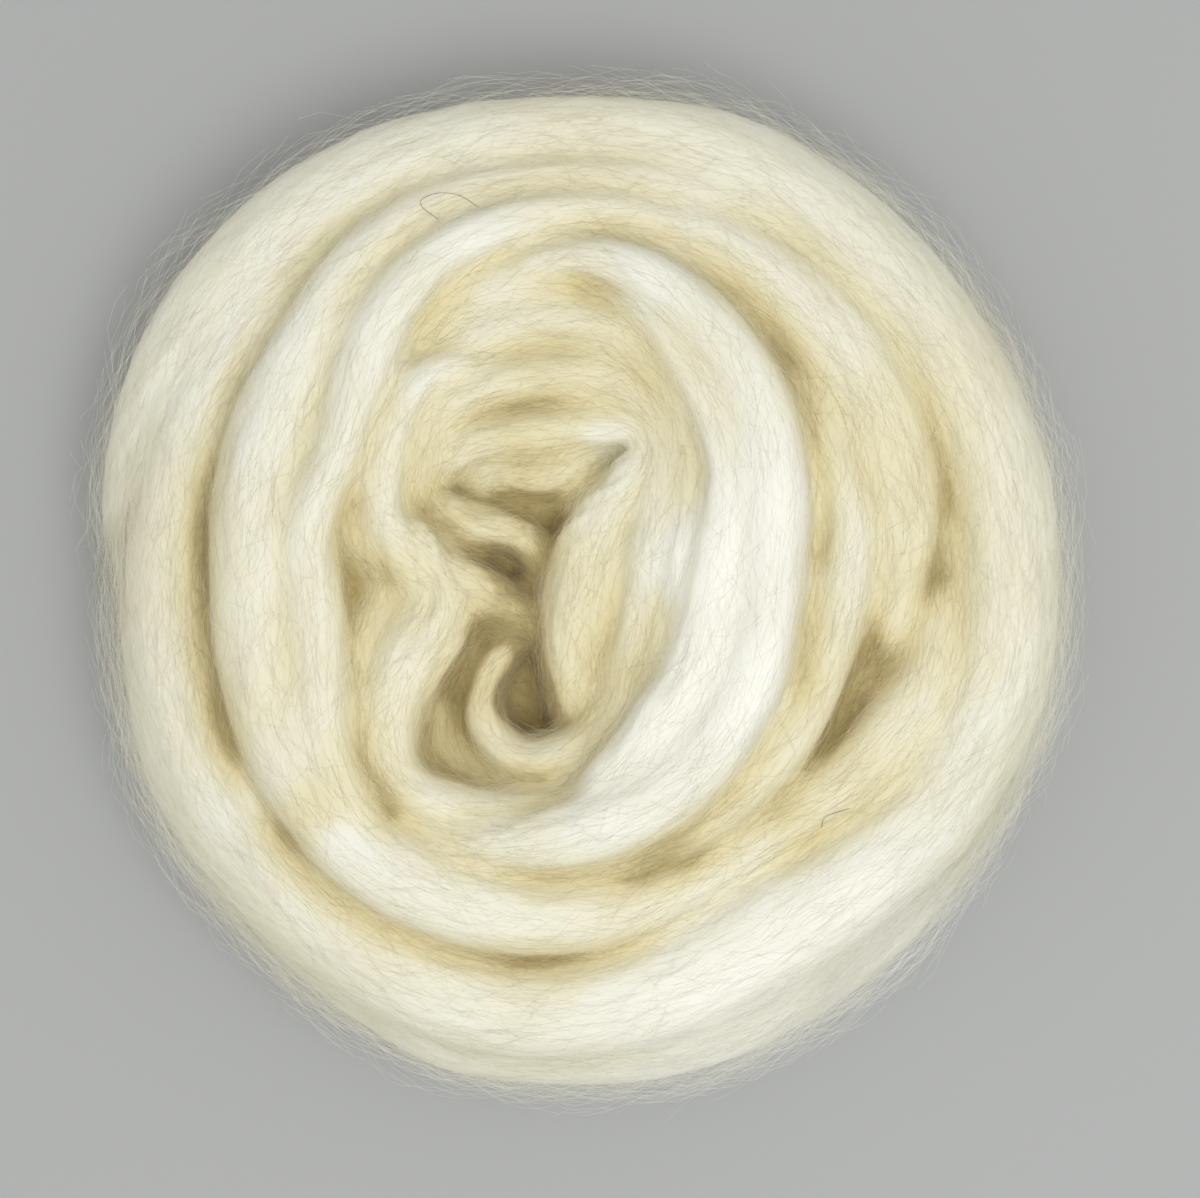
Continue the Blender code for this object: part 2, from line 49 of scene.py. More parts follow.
# Rows of x, y, crest height and half width, in millimetres, after each fold's underside. A turn
# with no underside of its own is as thick as it is wide.
turns = {
    # the outermost turn, from its feathered end round to where it slips under the second turn
    "rim": (None, [
        (-116, 4, 12, 3), (-114.5, 19, 25, 7), (-110, 37, 31, 9.5), (-103, 55, 34, 11.5),
        (-92, 73, 36, 12), (-77, 89, 37, 12), (-59, 102, 38, 11.5), (-36, 111, 38, 10.5),
        (-12, 115.5, 38, 9), (12, 115.5, 38, 9), (36, 109.5, 39, 10.5), (57, 98, 40, 11),
        (74, 82, 41, 12), (88, 64.5, 42, 12), (99, 44, 42, 12.5), (104.5, 22, 42, 13),
        (105.5, 0, 42, 13), (103.5, -21, 42, 13), (96, -38, 42, 13.5), (86, -53, 42, 14),
        (72, -66, 42, 14.5), (56, -78, 42, 15), (38, -89, 42, 15.5), (18, -98, 42, 15),
        (-4, -102.5, 42, 13.5), (-26, -101, 41, 13.5), (-48, -92, 40, 13.5), (-68, -77.5, 39, 14.5),
        (-84, -60.5, 38, 14.5), (-97, -41, 37, 13.5), (-103, -18, 36, 12.5), (-104.5, 3, 36, 11),
        (-103, 21, 36, 10), (-99, 38, 37, 9.5), (-93, 54, 37, 9), (-85, 67, 37, 8),
        (-75.5, 77, 36, 7), (-65, 84, 34, 5)]),
    # the turn under the rim, which shows along its lower edge
    "under_rim": (None, [
        (-97, -47, 25, 8), (-84, -68, 28, 10), (-67, -85.5, 29, 11), (-50, -98, 29, 11.5),
        (-30, -108, 29, 12), (-6, -111.5, 29, 11.5), (20, -110, 29, 11.5), (42, -102, 29, 11.5),
        (60, -89, 28, 10.5), (75, -72.5, 27, 10), (90, -54, 26, 9.5), (101, -34, 24, 9),
        (106, -12, 21, 8.5), (107, 9, 17, 7)]),
    # the second turn, from the top down the left side and along the bottom
    "second": (8, [
        (60, 86, 34, 3.5), (45, 95, 38, 5), (26, 101, 40, 5), (5, 104.5, 41, 4.5),
        (-14, 103.5, 42, 4.5), (-32, 99.5, 43, 5), (-47, 91.5, 45, 6), (-59, 80, 46, 7),
        (-68, 64, 48, 8.5), (-76, 46, 49, 10.5), (-80.5, 27, 50, 11.5), (-82, 8, 51, 11),
        (-81, -12, 51, 11), (-76, -32, 51, 11.5), (-66.5, -50, 51, 11.5), (-53, -64.5, 51, 11.5),
        (-35, -74.5, 51, 11), (-15, -79.5, 50, 10), (5, -79, 47, 9), (22, -73.5, 44, 7),
        (37, -66, 40, 5.5), (51, -57, 36, 4)]),
    # the fold beside it, nearer the middle
    "second_inner": (8, [
        (34, 85, 40, 6), (14, 93.5, 44, 6.5), (-8, 94.5, 47, 6), (-28, 89, 49, 6),
        (-42, 79, 51, 7), (-52, 65, 52, 8), (-57.5, 49, 52, 7.5), (-62, 34, 52, 6.5),
        (-68.5, 18, 52, 7), (-67.5, 0, 52, 8), (-65.5, -20, 52, 8), (-64, -37, 52, 7.5),
        (-57.5, -52, 51, 6.5), (-46, -63, 49, 5.5)]),
    # the fluffed-out turn on the right
    "fluffed": (8, [
        (-8, 91, 36, 4), (8, 92, 40, 6), (24, 90, 43, 8.5), (40, 82.5, 44, 10.5), (56, 69.5, 45, 12),
        (69.5, 52, 45, 12.5), (77.5, 33, 44, 11.5), (80, 15, 43, 9), (78.5, -1, 41, 6),
        (74, -14, 37, 4.5), (67, -25, 33, 3.5)]),
    # the narrow fold below the crest, down the right side
    "third": (8, [
        (48, 63, 42, 3.5), (55.5, 50, 45, 5), (61.5, 34, 46, 5.5), (66, 17, 46, 6.5),
        (64, 1, 46, 8), (60, -15, 47, 7.5), (54, -30, 48, 6.5), (45.5, -42.5, 49, 6),
        (34, -53.5, 49, 5.5), (20, -62, 48, 5.5), (5, -67.5, 46, 5), (-10, -70, 44, 4),
        (-24, -70, 41, 3.5)]),
    # the turn that slips out from under the rim at the lower right
    "slipped": (8, [
        (87, 22, 31, 3), (89, 9, 35, 4), (88, -6, 38, 6), (85, -20, 40, 7.5),
        (78, -32, 42, 9.5), (68.5, -42.5, 43, 9.5), (57, -51, 43, 8.5), (45, -59, 42, 7.5),
        (32, -67, 41, 7), (18, -76, 40, 6)]),
    # the crest, the highest turn
    "crest": (8, [
        (-26, 73, 40, 3.5), (-14, 81, 46, 4.5), (-1, 84, 51, 5), (13, 80.5, 55, 6),
        (25, 72, 57, 7.5), (35.5, 60, 59, 8.5), (43.5, 44.5, 60, 9), (46.5, 27, 60, 9),
        (46, 10, 60, 9), (45, -7, 60, 8.5), (40, -23, 60, 8.5), (31.5, -37.5, 60, 9),
        (20, -48.5, 60, 9.5), (5.5, -56.5, 60, 9), (-9, -60, 57, 8), (-22, -61, 53, 6.5),
        (-34, -59, 48, 5.5), (-46, -53, 43, 4)]),
    # the fold on its inner side
    "crest_inner": (8, [
        (2, 79, 44, 3.5), (13, 73, 50, 5), (23, 62, 54, 6.5), (31, 48, 56, 6.5), (35.5, 31, 57, 5.5),
        (34.5, 14, 58, 7), (31, -3, 58, 8), (26.5, -18, 58, 7.5), (19, -30.5, 58, 7.5),
        (11, -40.5, 57, 7), (2, -49, 55, 5.5), (-7, -54, 50, 3.5)]),
    # folds of the middle, from the outside inwards
    "veil": (10, [
        (-46, 52, 36, 3.5), (-42, 63, 40, 6), (-32, 72, 42, 7), (-18, 77.5, 44, 6.5),
        (-4, 78, 43, 6), (7, 74, 40, 5), (15, 67, 37, 4.5)]),
    "arch": (10, [
        (-38, 56, 37, 4), (-28, 63.5, 42, 5), (-15, 68, 44, 5.5), (-2, 68.5, 45, 6),
        (9, 64.5, 46, 6), (17.5, 57, 47, 5.5), (23, 47.5, 48, 5), (26.5, 36, 48, 4.5),
        (26, 24, 49, 4), (24, 10, 50, 4), (21.5, -4, 50, 4), (18.5, -16, 50, 4),
        (14, -28, 49, 3.5)]),
    "hook": (10, [
        (-42, 18, 38, 4.5), (-42, 30, 40, 4.5), (-38.5, 41.5, 42, 5), (-30, 50, 43, 5.5),
        (-16, 54, 43, 6.5), (-2, 55, 43, 6.8), (10, 53.5, 43, 6.5), (18, 46, 44, 5.5),
        (21, 34, 45, 5), (18.5, 22, 46, 5), (15.5, 8, 47, 5.5), (14.5, -6, 48, 6.2),
        (11.5, -18, 47, 6.5), (8, -29, 45, 7), (0, -38, 43, 6.5), (-11, -41, 41, 5.5),
        (-20, -38.5, 39, 5.5), (-25, -30, 38, 5), (-24, -20, 37, 5), (-18.5, -12, 36, 4.5),
        (-11, -6, 33, 3.5)]),
    "tongue": (10, [
        (-36, 24, 36, 4.5), (-34.5, 33, 39, 5), (-27, 38.5, 41, 6), (-16, 40.5, 42, 6),
        (-5, 41.5, 42, 5.5), (5, 42.5, 41, 5), (12, 41, 41, 4), (15, 35, 42, 4),
        (10.5, 28, 43, 5), (4.5, 20, 44, 7), (1, 10, 45, 9), (-1, -1, 45, 9.5),
        (-2.5, -11, 45, 9), (-3, -21, 43, 7.5), (-3.5, -30, 37, 6), (-4, -37, 28, 3.5)]),
    "lip": (10, [
        (-30, 27.5, 36, 3.5), (-21, 30, 38.5, 5.5), (-11, 30.5, 39, 7), (-3, 33, 37, 6),
        (3, 36, 33, 4.5), (8, 39, 30, 3)]),
    "s_fold": (10, [
        (-38.5, 29, 36, 3.5), (-36.5, 23, 38, 4.5), (-29.5, 18, 39, 5.5), (-20, 16.5, 39, 5.5),
        (-14, 13.5, 38, 5), (-11.5, 7, 37, 4.5), (-12.5, 0, 36, 4)]),
    "cross_fold": (10, [
        (-48, 12, 42, 5), (-38, 6, 44, 7), (-28, 1, 43, 7.5), (-19, -3.5, 41, 6), (-12, -8, 38, 5),
        (-5, -14, 35, 4)]),
    "left_fold": (10, [
        (-19, 60, 40, 3.5), (-30, 58, 44, 4.5), (-39.5, 54.5, 46, 4.5), (-45.5, 46, 47, 4.5),
        (-48.5, 36, 47, 5), (-50.5, 26, 47, 5.5), (-49, 17, 46, 6.5), (-42.5, 9, 45, 8.5),
        (-36.5, 2, 45, 10), (-37, -5, 45, 10.5), (-41, -12, 46, 10.5), (-46, -20, 47, 10),
        (-48.5, -30, 47, 8.5), (-48.5, -40, 47, 7.5), (-43, -48.5, 48, 6.5), (-33, -53, 48, 6.5),
        (-22, -54.5, 48, 6.5), (-10, -54, 48, 6), (0, -50.5, 47, 5), (9, -44, 44, 4)]),
    # folds further down, which show between them
    "left_hollow": (10, [
        (-59, 28, 41, 5), (-56, 13, 42, 8), (-51, 2, 41, 8), (-56, -13, 43, 7), (-57.5, -28, 46, 5)]),
    "curl_hollow": (10, [
        (-22, -6, 33, 4), (-27, -12, 33, 6.5), (-33, -24, 30, 8), (-33, -38, 29, 7),
        (-24, -47, 31, 5), (-10, -49, 33, 5), (4, -46, 34, 4)]),
    "second_hollow": (10, [(-52, -52, 38, 4), (-40, -59, 39, 4), (-26, -65, 40, 4)]),
    "lip_hollow": (10, [
        (-29, 24, 29, 4), (-16, 23, 30, 6), (-4, 26, 31, 7), (3, 31.5, 30, 5), (9, 36, 27, 5)]),
    "hook_hollow": (10, [(-24, 44, 35, 4), (-10, 47.5, 36, 5), (6, 49, 36, 5), (16, 44, 35, 4)]),
    "tongue_hollow": (10, [
        (-6, 21, 28, 6), (-9, 12, 30, 4.5), (-10.5, 2, 30, 4.5), (-11, -7, 29, 4.5)]),
    "crest_hollow": (10, [(56, 36, 39, 4), (58, 18, 37, 4.5), (57, 3, 38, 4), (54, -13, 41, 4)]),
    "right_hollow": (10, [(80, 8, 37, 5), (77, -7, 37, 7), (70, -19, 36, 8), (62, -30, 37, 6)]),
}

nest_width, nest_length = 238, 248
section_step, section_points = 2.5, 28
# how nearly elliptical a fold's crown and body are (1 is an ellipse), and how far the body swells
crown_roundness, body_roundness, body_spread = 0.83, 0.5, 1.1
# a fold's crown is this high, and higher by this share of its half width
least_crown, crown_share = 6, 0.7
# at each end of a fold: the length that slips in under others, how far it sinks, the width left
end_run, end_drop, end_share = 14, 7, 0.45

# Two hidden layers of flat coils carry the folds: how far in from the nest's edge each starts,
# its crest height, its half width and its number of turns.
hidden_layers = ((16, 24, 13.5, 5), (27, 35, 11.5, 2))
coil_pitch, rows_a_turn = 23, 12
# how far a hidden turn wanders sideways and up, each with its waves a radian
sideways_sway, sideways_waves = 1.6, 2.6
upward_sway, upward_waves = 0.8, 1.7


def coil_rows(inset, crest, half_width, turns_round):
    """The rows of a hidden layer: once round the outside, then in by one pitch a turn."""
    rows = []
    for i in range(turns_round * rows_a_turn + 1):
        turn = i / rows_a_turn
        angle = math.tau * turn
        stray = sideways_sway * math.sin(sideways_waves * angle + inset)
        inwards = inset + coil_pitch * max(turn - 1, 0) + stray
        top = crest + upward_sway * math.sin(upward_waves * angle + inset)
        rows.append(((nest_width / 2 - inwards) * math.cos(angle),
                     (nest_length / 2 - inwards) * math.sin(angle), top, half_width))
    return rows


def through(rows, step):
    """Points every step or so on the smooth curve through the rows."""
    knots = [Vector(row) for row in rows]
    knots = [2 * knots[0] - knots[1], *knots, 2 * knots[-1] - knots[-2]]
    points = []
    for a, b, c, d in zip(knots, knots[1:], knots[2:], knots[3:]):
        count = max(1, round((c.xy - b.xy).length / step))
        for i in range(count):
            t = i / count
            points.append(0.5 * (2 * b + (c - a) * t + (2 * a - 5 * b + 4 * c - d) * t**2
                                 + (3 * b - a - 3 * c + d) * t**3))
    return [*points, knots[-2]]


def slipped_under(points):
    """The points with each end run narrowed and sunk, as it slips in under the folds beside it."""
    walked = [0]
    for point, after in zip(points, points[1:]):
        walked.append(walked[-1] + (after.xy - point.xy).length)
    sunk = []
    for point, from_start in zip(points, walked):
        left = max(0, 1 - min(from_start, walked[-1] - from_start) / end_run) ** 2
        sunk.append(Vector((point.x, point.y, point.z - end_drop * left,
                            point.w * (1 - (1 - end_share) * left))))
    return sunk


def crown_and_body(half_width, crest, foot):
    """Heights of a turn's widest line, of its crown above it and of its body below it."""
    if foot is None:
        return crest - half_width, half_width, half_width
    crown = least_crown + crown_share * half_width
    return crest - crown, crown, crest - crown - foot


def section_spot(angle, foot, half_width, crown, body):
    """How far a spot on a turn's section lies sideways of its middle and above it."""
    side, up = math.cos(angle), math.sin(angle)
    if foot is None:
        return side * half_width, up * crown
    if up > 0:
        side = math.copysign(abs(side) ** crown_roundness, side)
        return side * half_width, up**crown_roundness * crown
    # below its crown a fold swells into the ones beside it
    swollen = half_width + body_spread * min(1, -3 * up)
    return math.copysign(abs(side) ** body_roundness, side) * swollen, up * body


def close_tube(mesh, rings):
    """Skins the rings into a tube, with a flat face over each end."""
    for ring, after in zip(rings, rings[1:]):
        for k in range(len(ring)):
            j = (k + 1) % len(ring)
            mesh.faces.new((ring[k], ring[j], after[j], after[k]))
    mesh.faces.new(reversed(rings[0]))
    mesh.faces.new(rings[-1])


def placed(name, data):
    """A new object in the scene."""
    made = bpy.data.objects.new(name, data)
    bpy.context.collection.objects.link(made)
    return made


# The lines that the turns follow. Each of their rows has these columns, with the way that the
# fibres run there, the way across, the millimetres walked so far and the turn's number.
PLACE, MIDDLE, HALF_WIDTH, CROWN, BODY = slice(0, 2), 2, 3, 4, 5
RUN, RUN_FLAT, ACROSS, WALKED, TURN = slice(6, 9), slice(6, 8), slice(9, 11), 11, 12
lines = []
layers = [*((None, coil_rows(*layer)) for layer in hidden_layers), *turns.values()]
tubes = bmesh.new()
for number, (foot, rows) in enumerate(layers):
    points = through(rows, section_step)
    if foot is not None:
        points = slipped_under(points)
    rings = []
    walked = 0
    for i, point in enumerate(points):
        ahead = points[min(i + 1, len(points) - 1)] - points[max(i - 1, 0)]
        run = Vector((ahead.x, ahead.y, ahead.z)).normalized()
        across = Vector((ahead.y, -ahead.x)).normalized()
        walked += (point.xy - points[max(i - 1, 0)].xy).length
        middle, crown, body = crown_and_body(point[3], point[2], foot)
        lines.append((point.x, point.y, middle, point[3], crown, body, *run, *across, walked, number))
        ring = []
        for k in range(section_points):
            side, up = section_spot(math.tau * k / section_points, foot, point[3], crown, body)
            ring.append(tubes.verts.new((
                (point.x + across.x * side) * MM, (point.y + across.y * side) * MM,
                (middle + up) * MM)))
        rings.append(ring)
    close_tube(tubes, rings)
bmesh.ops.recalc_face_normals(tubes, faces=tubes.faces)
tubes_mesh = bpy.data.meshes.new("turns")
tubes.to_mesh(tubes_mesh)
tubes.free()
lines = np.array(lines)


def as_modified(draft):
    """The draft's mesh with its modifiers applied; the draft itself is removed."""
    graph = bpy.context.evaluated_depsgraph_get()
    mesh = bpy.data.meshes.new_from_object(draft.evaluated_get(graph))
    bpy.data.objects.remove(draft)
    return mesh


# The turns are fused where they touch, and swollen and shrunk back so that narrow gaps close.
cell = 1.15
narrowest_gap = 1.6
draft = placed("turns", tubes_mesh)
for number, swelling in enumerate((narrowest_gap / 2, -narrowest_gap / 2, 0)):
    fuse = draft.modifiers.new(f"fuse_{number}", "REMESH")
    fuse.mode = "VOXEL"
    fuse.voxel_size = cell * MM
    if swelling:
        swell = draft.modifiers.new(f"swell_{number}", "DISPLACE")
        swell.mid_level = 0
        swell.strength = swelling * MM
soften = draft.modifiers.new("soften", "SMOOTH")
soften.factor = 0.5
soften.iterations = 4
body_mesh = as_modified(draft)

# Only the outer skin is kept, and what would lie under the table is pressed flat on it.
skin = bmesh.new()
skin.from_mesh(body_mesh)
left = set(skin.verts)
shells = []
while left:
    seed = left.pop()
    shell, front = {seed}, [seed]
    while front:
        vert = front.pop()
        for edge in vert.link_edges:
            other = edge.other_vert(vert)
            if other in left:
                left.remove(other)
                shell.add(other)
                front.append(other)
    shells.append(shell)
keep = max(shells, key=len)
bmesh.ops.delete(skin, geom=[v for v in skin.verts if v not in keep], context="VERTS")
for vert in skin.verts:
    vert.co.z = max(vert.co.z, 0)
skin.to_mesh(body_mesh)
skin.free()
triangles = 180000
draft = placed("turns", body_mesh)
thin_out = draft.modifiers.new("thin_out", "DECIMATE")
thin_out.ratio = triangles / sum(len(face.vertices) - 2 for face in body_mesh.polygons)
body_mesh = as_modified(draft)


def read(items, field, columns=1, kind=float):
    """One field of all of the mesh's items, a row for each item where it has several numbers."""
    values = np.empty(len(items) * columns, kind)
    items.foreach_get(field, values)
    return values.reshape(-1, columns) if columns > 1 else values


def nearest_turn(spots):
    """For each spot in millimetres, the row of lines whose turn's surface it lies on."""
    # only the rows near each square of the nest are compared
    square_side, reach = 20, 32
    found = np.empty(len(spots), int)
    square = (spots[:, :2] // square_side).astype(int)
    for corner in np.unique(square, axis=0):
        here = np.flatnonzero((square == corner).all(1))
        off_middle = np.abs(lines[:, PLACE] - (corner + 0.5) * square_side).max(1)
        close = np.flatnonzero(off_middle < reach)
        part, beside = spots[here, None], lines[close]
        wide = ((part[..., :2] - beside[:, PLACE]) ** 2).sum(-1) / beside[:, HALF_WIDTH] ** 2
        up = part[..., 2] - beside[:, MIDDLE]
        tall = (up / np.where(up > 0, beside[:, CROWN], beside[:, BODY])) ** 2
        found[here] = close[(wide + tall).argmin(1)]
    return found


def on_turn(spots, near):
    """Millimetres along each spot's turn and round it, seen from below the turn's middle."""
    offset = spots[:, :2] - near[:, PLACE]
    along = near[:, WALKED] + (offset * near[:, RUN_FLAT]).sum(1)
    sideways = (offset * near[:, ACROSS]).sum(1)
    up = (spots[:, 2] - near[:, MIDDLE] + near[:, CROWN]) * near[:, HALF_WIDTH] / near[:, CROWN]
    return along, np.arctan2(up, sideways) * 2 * near[:, HALF_WIDTH]


count = len(body_mesh.vertices)
spots = read(body_mesh.vertices, "co", 3) / MM
normals = read(body_mesh.vertices, "normal", 3)
near = lines[nearest_turn(spots)]
along, around = on_turn(spots, near)

ends = read(body_mesh.edges, "vertices", 2, int)
ends = np.concatenate([ends, ends[:, ::-1]])
neighbours = np.maximum(np.bincount(ends[:, 0], minlength=count), 1)


def mean_beside(values):
    """For each vertex, the mean of the values at the vertices beside it."""
    return np.bincount(ends[:, 0], weights=values[ends[:, 1]], minlength=count) / neighbours


# Along the creases, where one turn meets the next, the wool is springy and rounds them off.
crease_reach, crease_fade = 5, 0.8
crease_softenings, softening = 16, 0.5
crease = np.zeros(count)
crease[ends[near[ends[:, 0], TURN] != near[ends[:, 1], TURN], 0]] = 1
for _ in range(crease_reach):
    np.maximum.at(crease, ends[:, 0], crease_fade * crease[ends[:, 1]])
for _ in range(crease_softenings):
    middles = np.stack([mean_beside(spots[:, axis]) for axis in range(3)], 1)
    spots += softening * crease[:, None] * (middles - spots)


def rising(values, start, span):
    """0 up to the start, 1 from the end of the span, and in between a steady rise."""
    return np.clip((values - start) / span, 0, 1)


def ridges(along, around, turn, length, width, shift, seed):
    """Ridges of about this length and width in millimetres, which differ from turn to turn."""
    return noise.noise(Vector((along / length + shift * turn, around / width, turn + seed)))


def lumps(x, y, size, seed):
    """Lumps of about this size in millimetres."""
    return noise.noise(Vector((x / size, y / size, seed)))


# Combed wool is fluted: long shallow ridges run along each turn, and fade out towards the table,
# where the wool is pressed. Round the curl in the middle it is crumpled as well.
curl_x, curl_y, curl_across, curl_along = -14, 12, 40, 55
from_curl = np.hypot((spots[:, 0] - curl_x) / curl_across, (spots[:, 1] - curl_y) / curl_along)
crumpled = np.clip(1.6 - from_curl, 0.1, 1)
pressed_height = 6
fluting = np.array([
    0.5 * ridges(a, r, turn, 60, 6, 7, 0) + 0.2 * ridges(a, r, turn, 40, 2.6, 3, 9)
    + 0.4 * lumps(x, y, 18, 4)
    + here * (1.1 * ridges(a, r, turn, 14, 3.2, 5, 5) + 1.3 * lumps(x, y, 9, 8))
    for a, r, turn, x, y, here in zip(
        along, around, near[:, TURN], spots[:, 0], spots[:, 1], crumpled)])
spots += normals * (fluting * (1 - crease) * rising(spots[:, 2], 0, pressed_height))[:, None]
spots[:, 2] = np.maximum(spots[:, 2], 0)
body_mesh.vertices.foreach_set("co", (spots * MM).ravel())

# The highest wool over each square millimetre.
grid_side = 280
tops = np.zeros((grid_side, grid_side))
cells = np.clip((spots[:, :2] + grid_side / 2).astype(int), 0, grid_side - 1)
np.maximum.at(tops, (cells[:, 0], cells[:, 1]), spots[:, 2])


def blurred(grid, spread):
    """The grid blurred by a bell curve of this spread."""
    reach = np.arange(-3 * spread, 3 * spread + 1)
    kernel = np.exp(-(reach / spread) ** 2 / 2)
    kernel /= kernel.sum()
    for axis in (0, 1):
        grid = np.apply_along_axis(np.convolve, axis, grid, kernel, "same")
    return grid


def highest_within(grid, reach):
    """The highest of the grid's heights within reach of each square."""
    for axis in (0, 1):
        grid = np.max([np.roll(grid, k, axis) for k in range(-reach, reach + 1)], axis=0)
    return grid


# How far each spot lies below the folds round it, first in narrow creases and then in wide pits,
# painted into the wool's colour as shade: reach and full depth in millimetres, and share.
hollow = np.zeros(count)
for reach, depth, share in ((5, 8, 0.5), (11, 26, 0.4)):
    folds_round = blurred(highest_within(tops, reach), reach // 2)
    below = (folds_round[cells[:, 0], cells[:, 1]] - spots[:, 2]) / depth
    hollow += share * np.clip(below, 0, 1) ** 1.5
# Where one fold meets the next, a fine darker line of painted shade runs along the crease.
crease_line_shade, line_evenness, hollow_softenings = 0.2, 0.3, 8
hollow += crease_line_shade * crease**3 * (line_evenness + hollow)
for _ in range(hollow_softenings):
    hollow = 0.5 * hollow + 0.5 * mean_beside(hollow)
# Near the nest's edge, which is 1 from its middle, the wool is open to the light and the painted
# shade of the hollows fades out.
deepest_shade, gone_by, fade = 0.7, 0.98, 0.18
reach_out = np.hypot(spots[:, 0] / (nest_width / 2), spots[:, 1] / (nest_length / 2))
hollow *= deepest_shade * np.clip((gone_by - reach_out) / fade, 0, 1)

# Patches of painted shade, darker and yellower, or of painted light, paler where the share is below 0:
# middle, reach and share. Each shows more where the wool lies deep.
shade_and_light_patches = (
    (88, 22, 12, 0.25), (76, -16, 12, 0.6), (-13, -92, 12, 0.25), (-53, 5, 10, 0.2),
    (-14, -25, 7, 1.6), (-14, 4, 20, 0.6), (-20, 7, 6, 0.6), (-10, 45, 14, 0.8),
    (-32, -20, 15, 0.3), (76, 36, 19, 0.5), (66, -44, 14, 0.4), (92, 58, 20, 0.2),
    (-68, -54, 8, 0.9), (-84, -52, 8, -0.4), (-36, -38, 10, -0.22), (6, 36, 7, -0.6),
    (28, 8, 12, -1), (40, -22, 18, -0.8), (14, -30, 10, -0.4), (0, -46, 12, -0.3),
    (46, 22, 16, -0.6), (56, 2, 7, -0.3), (20, 84, 12, -0.3), (-60, 74, 22, -0.1),
    (-88, 44, 12, -0.2), (40, -98, 36, -0.5), (82, -82, 20, -0.4), (-16, 24, 9, 0.7),
    (2, 62, 12, 0.3), (0, 0, 12, 0.15), (-46, -34, 14, 0.3), (-68, -14, 14, 0.2),
    (24, -68, 10, 0.4), (10, -84, 9, 0.4), (52, -58, 9, 0.4), (-26, 36, 12, 0.5),
    (2, 118, 22, 0.2), (-100, 10, 26, 0.2), (104, 0, 26, 0.15), (55, -2, 9, 0.25),
    (51, -18, 9, 0.3), (45, -32, 9, 0.3), (36, -46, 9, 0.2), (24, -58, 9, 0.1),
    (-57, -40, 8, 0.35), (-52, -50, 8, 0.3), (-34, -62, 7, 0.3), (92, -12, 9, 0.15),
    (90, 0, 9, 0.15), (-44, 58, 7, -0.4), (-14, 60, 8, 0.2), (2, 60, 8, -0.1),
    (-12, -35, 6, -0.4), (-26, 30, 8, -0.5), (-3, 23, 6, -0.35), (-11, 2, 6, -0.4),
    (-20, -5, 7, 0.7), (-25, -29, 7, 0.4), (-14, -41, 6, 0.5), (2, -16, 9, 0.45),
    (-46, 5, 9, 0.5), (-47, -52, 7, 0.5), (-20, -49, 7, -0.3), (21, -43, 8, -0.25),
    (22, 40, 8, -0.2), (-37, -28, 6, -0.25), (2, -52, 7, -0.3), (-30, 20, 5, 0.4),
    (57, -24, 9, 0.6), (68, -45, 12, 0.3), (54, -60, 9, 0.3), (14, -72, 9, 0.3),
    (84, 5, 8, 0.5), (-84, -30, 11, 0.35), (-4, -90, 11, 0.2), (-80, 64, 12, -0.25),
    (-28, 88, 9, -0.3), (12, 72, 8, -0.3), (-60, -60, 8, -0.3))
patch_evenness, least_tint = 0.35, 0.25
for x, y, reach, share in shade_and_light_patches:
    near_by = np.exp(-((spots[:, 0] - x) ** 2 + (spots[:, 1] - y) ** 2) / reach**2)
    hollow += share * near_by * (patch_evenness + hollow)
hollow = np.clip(least_tint + hollow, 0, 1)

# Where fibres stand: on all that isn't pressed down, in the hollows, and round the outside most
# where the wool was handled (degrees round from +X, share).
handled = ((-180, 0.5), (-165, 0.9), (-140, 1.0), (-120, 0.6), (-95, 0.35), (-70, 0.8), (-40, 1.0),
           (-10, 0.8), (15, 0.4), (40, 0.6), (65, 0.5), (95, 0.2), (130, 0.15), (155, 0.3),
           (172, 0.9), (180, 0.5))
bearing = np.degrees(np.arctan2(spots[:, 1], spots[:, 0]))
standing = rising(spots[:, 2], 3, 4) * rising(normals[:, 2], -0.6, 1)
outside = (np.interp(bearing, *zip(*handled)) * rising(reach_out, 0.86, 0.08)
           * rising(spots[:, 2], 5, 4))

# the painted shade goes to the materials and the fibres with the other attributes
for name, kind, values in (
        ("lay", "FLOAT_VECTOR", near[:, RUN]), ("hollow", "FLOAT", hollow),
        ("standing", "FLOAT", standing), ("bridged", "FLOAT", hollow * standing),
        ("outside", "FLOAT", outside)):
    attribute = body_mesh.attributes.new(name, kind, "POINT")
    attribute.data.foreach_set("vector" if kind == "FLOAT_VECTOR" else "value", values.ravel())

# The streaks' own map: metres along the turn and metres round it, each face on one turn only. A
# shift from turn to turn keeps their streaks apart.
turn_shift = 1.7
sizes = read(body_mesh.polygons, "loop_total", kind=int)
first = read(body_mesh.polygons, "loop_start", kind=int)
corner_vert = read(body_mesh.loops, "vertex_index", kind=int)
corner_near = np.repeat(near[corner_vert[first]], sizes, axis=0)
along, around = on_turn(spots[corner_vert], corner_near)
strand = np.stack([along * MM + turn_shift * corner_near[:, TURN], around * MM], 1)
uv = body_mesh.uv_layers.new(name="strand")
uv.data.foreach_set("uv", strand.ravel())
body_mesh.polygons.foreach_set("use_smooth", [True] * len(body_mesh.polygons))

roving = placed("wound_roving", body_mesh)


